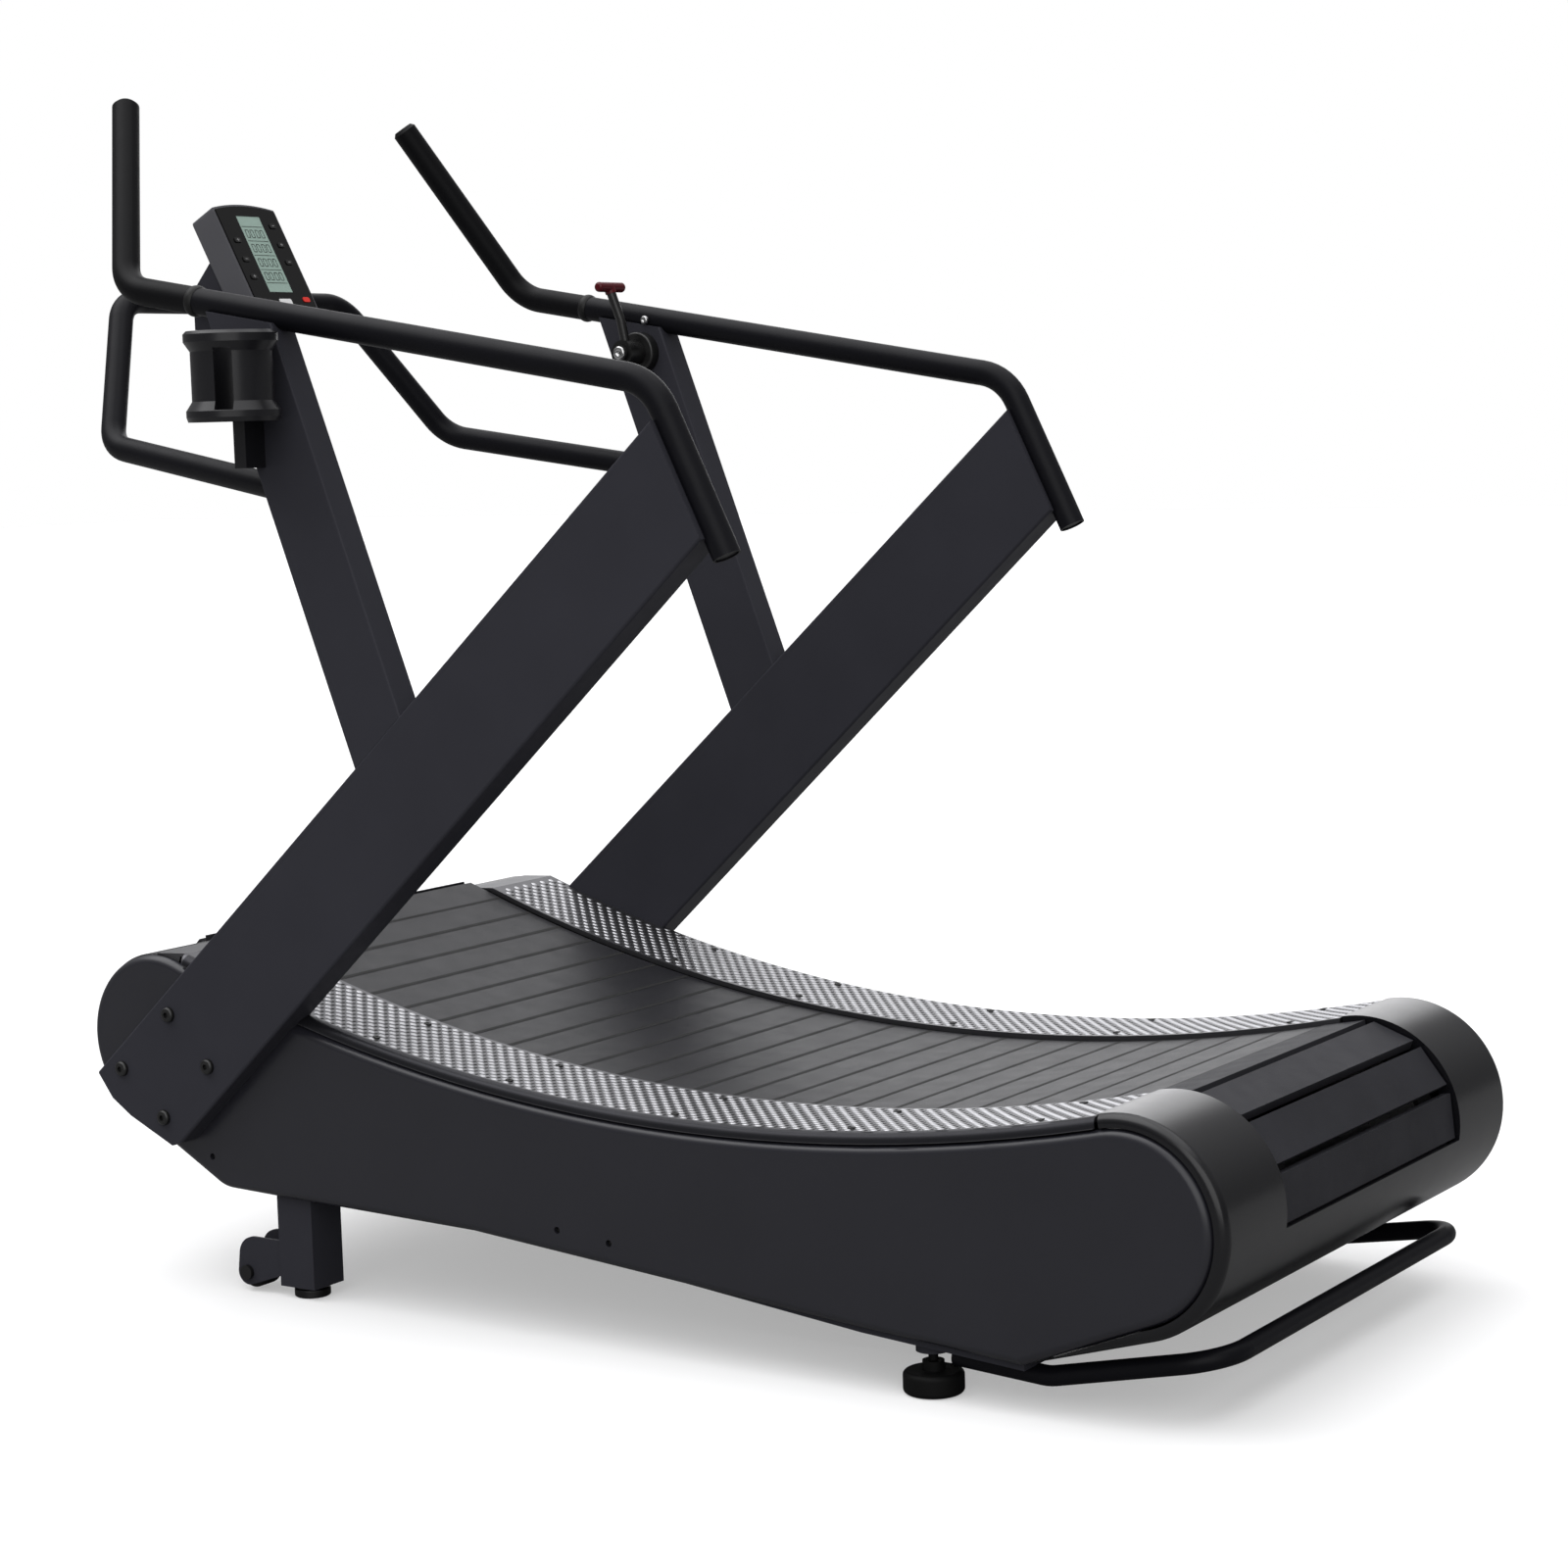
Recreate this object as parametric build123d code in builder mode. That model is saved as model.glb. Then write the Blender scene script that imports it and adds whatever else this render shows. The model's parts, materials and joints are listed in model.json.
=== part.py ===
"""Curved manual treadmill: a frame, a slatted running loop and the parts that move on them.

Millimetres, +Z up.  The runner faces +X, the runner's left is +Y and the floor is z = 0.
The machine is laid out about its own mid plane and moved as a whole by FRAME_SHIFT on export,
so that the middle of its footprint stands on the origin.
"""

import os
from math import acos, asin, atan2, cos, degrees, hypot, pi, radians, sin, sqrt

from build123d import *

os.makedirs("parts", exist_ok=True)

# ---- driving dimensions -------------------------------------------------------------------
FRAME_SHIFT = (0.0, -56.4, 0.0)

# running loop: pitch line of the carrier belts
REAR_AXIS = (-775.0, 238.6)
FRONT_AXIS = (713.0, 342.8)
ARC_CENTRE = (-207.0, 2804.5)
ARC_R = 2518.0
PITCH_R = 110.0
BELT_THICK = 6.0
BELT_INNER_Y = 200.0
BELT_OUTER_Y = 240.0
SLAT_COUNT = 61
SLAT_WIDTH = 58.0
SLAT_HALF = 258.0
SLAT_TOP = 16.0
SLAT_FOOT = 4.0
JOINT_ANGLE = radians(95.0)

# base
PLATE_IN, PLATE_OUT = 342.0, 350.0
BEAM_IN, BEAM_OUT = 350.0, 410.0
RAIL_IN, RAIL_OUT = 264.0, 421.0
CAP_IN, CAP_OUT = 262.0, 421.0
COVER_IN, COVER_OUT = 413.0, 425.0
RAIL_TOP_OFF, RAIL_LOW_OFF = 22.0, 15.0
COVER_OFF = 6.0
CAP_OFF = 24.0
CAP_SKIN = 3.0
NOSE_OFF = 8.0
NOSE_OUT = 412.0
REAR_CORNER = (-642.0, 61.0)
FRONT_CORNER = (600.0, 146.0)
NOSE_CORNER = (606.0, 150.3)
FOOT_Y = 380.0
FRONT_FOOT_X, REAR_FOOT_X = 486.0, -498.0
WHEEL_AXIS = (578.0, 27.0)
WHEEL_R = 24.0

# uprights
POST_IN, POST_OUT = 405.7, 455.7
FORK_IN, FORK_OUT = 409.0, 453.0
WALL = 3.0
POST_UPPER = ((-169.0, 1159.0), (631.0, 443.0))
POST_LOWER = ((-251.0, 1029.0), (639.0, 215.0))
FOOT_END = ((794.0, 297.0), (768.0, 262.0), (735.0, 240.0), (660.0, 205.0), (643.0, 211.3))
FORK_FRONT = ((307.0, 731.0), (526.5, 1321.0))
FORK_WIDTH = 106.0
COVER_HOLES = ((616.0, 188.0), (29.0, 150.0), (-52.0, 142.0))
BOLTS = ((654.5, 387.0), (746.0, 305.0), (587.0, 321.0), (672.0, 243.5))

# handrail and front loop
TUBE_R = 18.0
RAIL_Y = 430.5
RAIL_END = (-269.0, 1004.5)
RAIL_BEND = (-167.0, 1215.0)
HORN_BEND = (687.0, 1362.2)
RAIL_SEAM = (562.0, 1215.0 + 729.0 * 147.2 / 854.0)
HORN_TOP = (798.0, 299.0, 1613.5)
GRIP_R, CORE_R = 18.6, 15.5
LOOP_R = 17.0
LOOP_ROOT = (415.0, 434.5, 1092.3)
LOOP_LOW = (793.0, 364.0, 1154.0)
LOOP_TOP = (887.0, 234.0, 1357.0)

# console
TILT = radians(28.0)
FACE_CENTRE = (825.0, 0.0, 1419.0)
FACE_W, FACE_H, FACE_DEPTH = 133.0, 180.0, 47.0
CROWN_R = 300.0
LCD_W, LCD_H, LCD_V = 50.0, 127.0, 6.0
BUTTONS = ((-45.0, 28.0), (-45.0, -4.0), (-45.0, -33.0), (45.0, 54.0), (45.0, 22.0), (45.0, -7.0))

# bottle holder and resistance lever
HOLDER_X, HOLDER_Y = 428.0, 515.0
HOLDER_LOW, HOLDER_HIGH = 1182.0, 1297.0
SLOT_ANGLE = radians(120.0)
LEVER_AXIS = (448.0, 1269.0)
LEVER_KINK = (454.0, -366.0, 1318.0)
LEVER_TIP = (464.5, -358.4, 1358.0)

# brake
FLY_AXIS = (560.0, 300.0)
FLY_R = 85.0
ARM_PIVOT = (474.0, 239.8)
RUN = 0.05


# ---- helpers ------------------------------------------------------------------------------
def unit(a, b):
    """Unit vector in the side view from point a to point b."""
    length = hypot(b[0] - a[0], b[1] - a[1])
    return ((b[0] - a[0]) / length, (b[1] - a[1]) / length)


def reach(p, d, t):
    """Point at distance t from p along d."""
    return (p[0] + d[0] * t, p[1] + d[1] * t)


def meet(p, q, a, b):
    """Crossing of the line p-q with the line a-b."""
    r = (q[0] - p[0], q[1] - p[1])
    s = (b[0] - a[0], b[1] - a[1])
    t = ((a[0] - p[0]) * s[1] - (a[1] - p[1]) * s[0]) / (r[0] * s[1] - r[1] * s[0])
    return (p[0] + r[0] * t, p[1] + r[1] * t)


def around(c, r, angle):
    """Point on a circle in the side view."""
    return (c[0] + r * cos(angle), c[1] + r * sin(angle))


def side_view(side, inner, outer):
    """Side-view sketch plane of a slab between |y| = inner and outer; extrude outer - inner."""
    top = outer if side > 0 else -inner
    return Plane(origin=(0, top, 0), x_dir=(1, 0, 0), z_dir=(0, -1, 0))


def across(low, high):
    """Side-view sketch plane of a slab between y = low and y = high; extrude high - low."""
    return Plane(origin=(0, high, 0), x_dir=(1, 0, 0), z_dir=(0, -1, 0))


TO_REAR = unit(REAR_AXIS, ARC_CENTRE)
TO_FRONT = unit(FRONT_AXIS, ARC_CENTRE)
ALONG = unit(REAR_AXIS, FRONT_AXIS)
DOWN = (ALONG[1], -ALONG[0])
ANGLE_REAR_UP = atan2(TO_REAR[1], TO_REAR[0])
ANGLE_FRONT_UP = atan2(TO_FRONT[1], TO_FRONT[0])
ANGLE_DOWN = atan2(DOWN[1], DOWN[0])
ARC_REAR = atan2(-TO_REAR[1], -TO_REAR[0])
ARC_FRONT = atan2(-TO_FRONT[1], -TO_FRONT[0])


def loop_line(off):
    """Draw the closed running loop moved outward by off."""
    r = PITCH_R + off
    rear_up, rear_down = reach(REAR_AXIS, TO_REAR, r), reach(REAR_AXIS, DOWN, r)
    front_up, front_down = reach(FRONT_AXIS, TO_FRONT, r), reach(FRONT_AXIS, DOWN, r)
    rear_mid = around(REAR_AXIS, r, (ANGLE_REAR_UP + ANGLE_DOWN + 2 * pi) / 2)
    front_mid = around(FRONT_AXIS, r, (ANGLE_FRONT_UP + ANGLE_DOWN) / 2)
    low = around(ARC_CENTRE, ARC_R - off, (ARC_REAR + ARC_FRONT) / 2)
    ThreePointArc(rear_up, rear_mid, rear_down)
    Line(rear_down, front_down)
    ThreePointArc(front_down, front_mid, front_up)
    ThreePointArc(front_up, low, rear_up)


def tangent_angle(corner, centre, r, turn):
    """Angle on a circle where a tangent from corner touches it, on the side given by turn."""
    d = hypot(corner[0] - centre[0], corner[1] - centre[1])
    return atan2(corner[1] - centre[1], corner[0] - centre[0]) + turn * acos(r / d)


def end_band(axis, up_angle, corner, turn, outer, inner, start=None):
    """Face between two outlines that wrap a drum and run on to a lower corner."""
    rows = []
    for off in (outer, inner):
        r = PITCH_R + off
        q = (corner[0], corner[1] + (outer - off) * 1.05)
        touch = tangent_angle(q, axis, r, turn)
        first = up_angle if start is None else start
        if turn < 0:
            first, touch = first, touch + 2 * pi if touch < first else touch
        mid = (first + touch) / 2
        rows.append((around(axis, r, first), around(axis, r, mid), around(axis, r, touch), q))
    a, b = rows
    with BuildLine() as edge:
        ThreePointArc(a[0], a[1], a[2])
        Line(a[2], a[3])
        Line(a[3], b[3])
        Line(b[3], b[2])
        ThreePointArc(b[2], b[1], b[0])
        Line(b[0], a[0])
    make_face(edge.line)


def arc_band(x_rear, x_front, top_off, low_off):
    """Face of a curved strip that follows the running surface."""
    rows = []
    for off in (top_off, low_off):
        r = ARC_R - off
        angles = [-acos((x - ARC_CENTRE[0]) / r) for x in (x_rear, x_front)]
        angles.insert(1, sum(angles) / 2)
        rows.append([around(ARC_CENTRE, r, a) for a in angles])
    a, b = rows
    with BuildLine() as edge:
        ThreePointArc(*a)
        Line(a[2], b[2])
        ThreePointArc(b[2], b[1], b[0])
        Line(b[0], a[0])
    make_face(edge.line)


def nose_ramp():
    """Face of the wedge that carries the front end of a foot rail down onto the front cover."""
    start = 660.0
    top, low = (ARC_CENTRE[1] - sqrt((ARC_R - off) ** 2 - (start - ARC_CENTRE[0]) ** 2)
                for off in (RAIL_TOP_OFF, RAIL_LOW_OFF))
    end = ANGLE_FRONT_UP - 0.36
    with BuildLine() as edge:
        Polyline(
            (start, top),
            around(FRONT_AXIS, PITCH_R + NOSE_OFF + 0.8, end),
            around(FRONT_AXIS, PITCH_R + NOSE_OFF - 4, end),
            around(FRONT_AXIS, PITCH_R + NOSE_OFF - 4, ANGLE_FRONT_UP),
            around(FRONT_AXIS, PITCH_R + RAIL_LOW_OFF, ANGLE_FRONT_UP),
            (start, low),
            close=True,
        )
    make_face(edge.line)


def bent_line(points, bend):
    """Draw a polyline in space with each inner corner rounded to the given radius."""
    pts = [Vector(*p) for p in points]
    here = pts[0]
    for i in range(1, len(pts) - 1):
        back = (pts[i - 1] - pts[i]).normalized()
        ahead = (pts[i + 1] - pts[i]).normalized()
        half = acos(max(-1.0, min(1.0, back.dot(ahead)))) / 2
        cut = bend / (sin(half) / cos(half))
        enter, leave = pts[i] + back * cut, pts[i] + ahead * cut
        toward = (back + ahead).normalized()
        middle = pts[i] + toward * (bend / sin(half) - bend)
        Line(here, enter)
        ThreePointArc(enter, middle, leave)
        here = leave
    Line(here, pts[-1])


def tube_along(points, bend, outer, inner=0.0, mode=Mode.ADD):
    """Sweep a round bar or tube along a bent line."""
    with BuildLine() as route:
        bent_line(points, bend)
    wire = route.wires()[0]
    with BuildSketch(Plane(origin=wire @ 0, z_dir=wire % 0)) as section:
        Circle(outer)
        if inner > 0:
            Circle(inner, mode=Mode.SUBTRACT)
    sweep(sections=section.sketch, path=wire, mode=mode)


def rail_points(side):
    """Corner points of one handrail from its lower rear end to its horn tip."""
    y = side * RAIL_Y
    return [
        (RAIL_END[0], y, RAIL_END[1]),
        (RAIL_BEND[0], y, RAIL_BEND[1]),
        (HORN_BEND[0], y, HORN_BEND[1]),
        (HORN_TOP[0], side * HORN_TOP[1], HORN_TOP[2]),
    ]


def post_corners(off):
    """Main post outline in the side view, moved inward by off."""
    along = unit(*POST_UPPER)
    normal = (along[1], -along[0])
    low_along = unit(*POST_LOWER)
    low_normal = (-low_along[1], low_along[0])
    upper = [reach(p, normal, off) for p in POST_UPPER]
    lower = [reach(p, low_normal, off) for p in POST_LOWER]
    slope = unit(RAIL_END, RAIL_BEND)
    inward = (slope[1], -slope[0])
    end = [reach(p, inward, 9.0 + off) for p in (RAIL_END, RAIL_BEND)]
    top = [meet(*end, *upper), meet(*end, *lower)]
    if off == 0:
        return [top[0], *FOOT_END, top[1]]
    foot = (FOOT_END[0], FOOT_END[-1])
    back = [(p[0] - off * 0.6, p[1] + off * 1.6) for p in foot]
    step = (back[1][0] - back[0][0], back[1][1] - back[0][1])
    line = (back[0], (back[0][0] + step[0], back[0][1] + step[1]))
    return [top[0], meet(*line, *upper), meet(*line, *lower), top[1]]


def fork_corners(off):
    """Front post outline in the side view, moved inward by off."""
    front = unit(*FORK_FRONT)
    inward = (-front[1], front[0])
    a = [reach(p, inward, off) for p in FORK_FRONT]
    shift = FORK_WIDTH
    b = [reach((p[0] - shift, p[1]), inward, -off) for p in FORK_FRONT]
    base = unit(*POST_UPPER)
    lift = (-base[1], base[0])
    low = [reach(p, lift, off) for p in POST_UPPER]
    rise = unit(RAIL_BEND, HORN_BEND)
    under = (rise[1], -rise[0])
    top = [reach(p, under, 9.0 + off) for p in (RAIL_BEND, HORN_BEND)]
    return [meet(*a, *low), meet(*a, *top), meet(*b, *top), meet(*b, *low)]


def outline(corners):
    """Closed straight-sided face."""
    with BuildLine() as edge:
        Polyline(*corners, close=True)
    make_face(edge.line)


def beam_corners(off):
    """Base beam outline in the side view, moved inward by off."""
    low = [(-640 + off, 52 + off), (-415, 70 + off), (170, 138 + off), (630 - off, 167.4 + off)]
    high = [(630 - off, 218 - off), (170, 188 - off), (-415, 120 - off), (-640 + off, 102 - off)]
    return low + high


def tail_points():
    """Corner points of the rear lifting bar."""
    half = [(-530.0, 380.0, 49.5), (-655.0, 376.0, 39.5), (-870.0, 351.0, 80.5)]
    return half + [(x, -y, z) for x, y, z in reversed(half)]


def loop_bar_points():
    """Corner points of the front loop handlebar."""
    half = [LOOP_ROOT, LOOP_LOW, LOOP_TOP]
    return half + [(x, -y, z) for x, y, z in reversed(half)]


def cover_outline(off):
    """Side cover face in the side view, moved inward by off."""
    r = PITCH_R + COVER_OFF - off
    rear = (REAR_CORNER[0], REAR_CORNER[1] + off * 1.1)
    front = (FRONT_CORNER[0], FRONT_CORNER[1] + off)
    rear_touch = tangent_angle(rear, REAR_AXIS, r, -1) + 2 * pi
    front_touch = tangent_angle(front, FRONT_AXIS, r, 1)
    rear_up, rear_low = reach(REAR_AXIS, TO_REAR, r), around(REAR_AXIS, r, rear_touch)
    front_up, front_low = reach(FRONT_AXIS, TO_FRONT, r), around(FRONT_AXIS, r, front_touch)
    low = around(ARC_CENTRE, ARC_R - COVER_OFF + off, (ARC_REAR + ARC_FRONT) / 2)
    under = [(-399.0, 80.0 + off), (170.0, 132.0 + off), (505.0, 142.4 + off)]
    with BuildLine() as edge:
        ThreePointArc(rear_up, around(REAR_AXIS, r, (ANGLE_REAR_UP + rear_touch) / 2), rear_low)
        Polyline(rear_low, rear, *under, front, front_low)
        ThreePointArc(front_low, around(FRONT_AXIS, r, (ANGLE_FRONT_UP + front_touch) / 2), front_up)
        ThreePointArc(front_up, low, rear_up)
    make_face(edge.line)


built = {}
SIDES = ((1, "left"), (-1, "right"))

# ---- base frame ---------------------------------------------------------------------------
for side, name in SIDES:
    with BuildPart() as side_plate:
        with BuildSketch(side_view(side, PLATE_IN, PLATE_OUT)):
            with BuildLine():
                loop_line(RAIL_LOW_OFF - 0.05)
            make_face()
            with Locations(REAR_AXIS, FRONT_AXIS):
                Circle(17.0, mode=Mode.SUBTRACT)
            if side < 0:
                with Locations(FLY_AXIS):
                    Circle(12.0, mode=Mode.SUBTRACT)
        extrude(amount=PLATE_OUT - PLATE_IN)
        with BuildSketch(side_view(side, PLATE_IN, PLATE_OUT)):
            end_band(FRONT_AXIS, ANGLE_FRONT_UP, NOSE_CORNER, 1, 30.0, NOSE_OFF - CAP_SKIN - 0.05)
        extrude(amount=PLATE_OUT - PLATE_IN, mode=Mode.SUBTRACT)
        if side < 0:
            with BuildSketch(side_view(side, 288.0, PLATE_IN)):
                with Locations(ARM_PIVOT):
                    Circle(6.0)
            extrude(amount=PLATE_IN - 288.0)
    built[f"side_plate_{name}"] = side_plate

for side, name in SIDES:
    with BuildPart() as base_beam:
        with BuildSketch(side_view(side, BEAM_IN, BEAM_OUT)):
            outline(beam_corners(0))
        extrude(amount=BEAM_OUT - BEAM_IN)
        with BuildSketch(side_view(side, BEAM_IN + WALL, BEAM_OUT - WALL)):
            outline(beam_corners(WALL))
        extrude(amount=BEAM_OUT - BEAM_IN - 2 * WALL, mode=Mode.SUBTRACT)
        with BuildSketch(side_view(side, 397.7, POST_IN)):
            outline(
                [
                    (560, 213.4),
                    (629, 217.9),
                    (700, 240),
                    (765, 275),
                    (765, 310),
                    (655, 410),
                    (580, 330),
                    (560, 290),
                ]
            )
            with Locations(*BOLTS):
                Circle(6.2, mode=Mode.SUBTRACT)
        extrude(amount=POST_IN - 397.7)
        with BuildSketch(Plane.XY.offset(52.0)):
            with Locations((REAR_FOOT_X, side * FOOT_Y)):
                Circle(21.0)
        extrude(amount=14.0)
        with BuildSketch(Plane.XY.offset(50.0)):
            with Locations((REAR_FOOT_X, side * FOOT_Y)):
                Circle(6.35)
        extrude(amount=22.0, mode=Mode.SUBTRACT)
        tube_along(tail_points(), 60.0, 12.5, mode=Mode.SUBTRACT)
    built[f"base_beam_{name}"] = base_beam

with BuildPart() as cross_members:
    for x, z in ((-420.0, 216.0), (60.0, 233.0), (430.0, 280.0)):
        with BuildSketch(across(-PLATE_IN, PLATE_IN)):
            with Locations((x, z)):
                Rectangle(50.0, 50.0)
                Rectangle(44.0, 44.0, mode=Mode.SUBTRACT)
        extrude(amount=2 * PLATE_IN)
built["cross_members"] = cross_members

with BuildPart() as glide_rails:
    for side, name in SIDES:
        with BuildSketch(side_view(side, BELT_INNER_Y + 4, BELT_OUTER_Y - 4)):
            arc_band(-690.0, 590.0, -BELT_THICK - 0.3, -BELT_THICK - 18.0)
        extrude(amount=BELT_OUTER_Y - BELT_INNER_Y - 8)
        for x, low in ((-420.0, 241.0), (60.0, 258.0), (430.0, 305.0)):
            high = ARC_CENTRE[1] - sqrt((ARC_R + 20.0) ** 2 - (x - ARC_CENTRE[0]) ** 2)
            with BuildSketch(side_view(side, BELT_INNER_Y + 4, BELT_OUTER_Y - 4)):
                with Locations((x, (low + high) / 2)):
                    Rectangle(36.0, high - low)
            extrude(amount=BELT_OUTER_Y - BELT_INNER_Y - 8)
built["glide_rails"] = glide_rails

for side, name in SIDES:
    with BuildPart() as front_leg:
        with BuildSketch(Plane.XY.offset(16.0)):
            with Locations((FRONT_FOOT_X, side * FOOT_Y)):
                Rectangle(60.0, 60.0)
        extrude(amount=154.0)
        with BuildSketch(Plane.XY.offset(20.0)):
            with Locations((FRONT_FOOT_X, side * FOOT_Y)):
                Rectangle(54.0, 54.0)
        extrude(amount=150.0, mode=Mode.SUBTRACT)
        with BuildSketch(side_view(side, BEAM_IN - 1, BEAM_OUT + 1)):
            outline(beam_corners(0))
        extrude(amount=BEAM_OUT - BEAM_IN + 2, mode=Mode.SUBTRACT)
        with BuildSketch(Plane.XY.offset(15.0)):
            with Locations((FRONT_FOOT_X, side * FOOT_Y)):
                Circle(6.35)
        extrude(amount=6.0, mode=Mode.SUBTRACT)
        for inner, outer in ((354.0, 359.0), (401.0, 406.0)):
            with BuildSketch(side_view(side, inner, outer)):
                with Locations(WHEEL_AXIS):
                    Circle(18.0)
                with Locations((566.0, 50.0)):
                    Circle(27.0)
                with Locations((524.0, 53.0)):
                    Rectangle(16.0, 48.0)
                make_hull()
                with Locations(WHEEL_AXIS):
                    Circle(5.2, mode=Mode.SUBTRACT)
            extrude(amount=outer - inner)
    built[f"front_leg_{name}"] = front_leg

with BuildPart() as wheel_axles:
    for side, name in SIDES:
        with BuildSketch(side_view(side, 350.0, 406.0)):
            with Locations(WHEEL_AXIS):
                Circle(5.0)
        extrude(amount=56.0)
        with BuildSketch(side_view(side, 406.0, 412.0)):
            with Locations(WHEEL_AXIS):
                Circle(10.0)
        extrude(amount=6.0)
        with BuildSketch(side_view(side, 346.0, 354.0)):
            with Locations(WHEEL_AXIS):
                RegularPolygon(9.0, 6)
        extrude(amount=8.0)
built["wheel_axles"] = wheel_axles

for side, name in SIDES:
    with BuildPart() as transport_wheel:
        with BuildSketch(side_view(side, 363.0, 397.0)):
            with Locations(WHEEL_AXIS):
                Circle(WHEEL_R)
                Circle(5.0 + RUN, mode=Mode.SUBTRACT)
        extrude(amount=34.0)
        rim = transport_wheel.edges().filter_by(GeomType.CIRCLE)
        fillet(rim.filter_by(lambda e: e.radius > 20), radius=4.0)
    built[f"transport_wheel_{name}"] = transport_wheel

with BuildPart() as tail_bar:
    tube_along(tail_points(), 60.0, 12.5, 10.0)
built["tail_bar"] = tail_bar

for side, name in SIDES:
    with BuildPart() as front_foot:
        with BuildSketch(Plane.XY):
            with Locations((FRONT_FOOT_X, side * FOOT_Y)):
                Circle(24.5)
        extrude(amount=12.0)
        fillet(front_foot.edges().filter_by(GeomType.CIRCLE), radius=2.5)
        with BuildSketch(Plane.XY.offset(12.0)):
            with Locations((FRONT_FOOT_X, side * FOOT_Y)):
                Circle(6.0)
        extrude(amount=78.0)
    built[f"front_foot_{name}"] = front_foot

for side, name in SIDES:
    with BuildPart() as rear_foot:
        with BuildSketch(Plane.XY):
            with Locations((REAR_FOOT_X, side * FOOT_Y)):
                Circle(37.5)
        extrude(amount=28.0)
        fillet(rear_foot.edges().filter_by(GeomType.CIRCLE), radius=6.0)
        with BuildSketch(Plane.XY.offset(28.0)):
            with Locations((REAR_FOOT_X, side * FOOT_Y)):
                Circle(13.5)
        extrude(amount=12.0)
        with BuildSketch(Plane.XY.offset(40.0)):
            with Locations((REAR_FOOT_X, side * FOOT_Y)):
                Circle(6.0)
        extrude(amount=50.0)
    built[f"rear_foot_{name}"] = rear_foot

# ---- covers and foot rails ----------------------------------------------------------------
for side, name in SIDES:
    with BuildPart() as side_cover:
        with BuildSketch(side_view(side, COVER_IN, COVER_OUT)):
            cover_outline(0.0)
        extrude(amount=COVER_OUT - COVER_IN)
        bend = side_cover.edges().filter_by(Axis.Y)
        fillet(bend.sort_by_distance((FRONT_CORNER[0], side * COVER_OUT, FRONT_CORNER[1]))[0], radius=50.0)
        skin = side_cover.faces().sort_by(Axis.Y)[-1 if side > 0 else 0]
        fillet(skin.edges(), radius=11.5)
        for inset, depth in ((WALL, 3.5), (10.0, COVER_OUT - WALL - COVER_IN)):
            with BuildSketch(side_view(side, COVER_IN, COVER_IN + depth)):
                cover_outline(inset)
            extrude(amount=depth, mode=Mode.SUBTRACT)
        with BuildSketch(side_view(side, BEAM_OUT, COVER_OUT - WALL)):
            with Locations(*COVER_HOLES):
                Circle(9.0)
        extrude(amount=COVER_OUT - WALL - BEAM_OUT)
        with BuildSketch(side_view(side, BEAM_OUT, COVER_OUT)):
            with Locations(*COVER_HOLES):
                Circle(4.5, mode=Mode.ADD)
        extrude(amount=COVER_OUT - BEAM_OUT, mode=Mode.SUBTRACT)
        with BuildSketch(side_view(side, POST_IN, POST_OUT)):
            outline(post_corners(0))
        extrude(amount=POST_OUT - POST_IN, mode=Mode.SUBTRACT)
    built[f"side_cover_{name}"] = side_cover

for side, name in SIDES:
    with BuildPart() as foot_rail:
        with BuildSketch(side_view(side, RAIL_IN, RAIL_OUT)):
            arc_band(-742.0, 660.0, RAIL_TOP_OFF, RAIL_LOW_OFF)
        extrude(amount=RAIL_OUT - RAIL_IN)
        with BuildSketch(side_view(side, RAIL_OUT - 4, RAIL_OUT)):
            arc_band(-742.0, 660.0, RAIL_TOP_OFF, COVER_OFF + 2)
        extrude(amount=4.0)
        lip = foot_rail.edges().filter_by(lambda e: e.length > 1000)
        fillet(lip.sort_by(lambda e: e.center().Z * 0.2 + side * e.center().Y)[-1], radius=12.0)
        with BuildSketch(side_view(side, RAIL_IN, NOSE_OUT)):
            nose_ramp()
            with Locations(FRONT_AXIS):
                Circle(PITCH_R + NOSE_OFF, mode=Mode.SUBTRACT)
        extrude(amount=NOSE_OUT - RAIL_IN)
        with BuildSketch(side_view(side, POST_IN, POST_OUT)):
            outline(post_corners(0))
        extrude(amount=POST_OUT - POST_IN, mode=Mode.SUBTRACT)
    built[f"foot_rail_{name}"] = foot_rail

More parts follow.
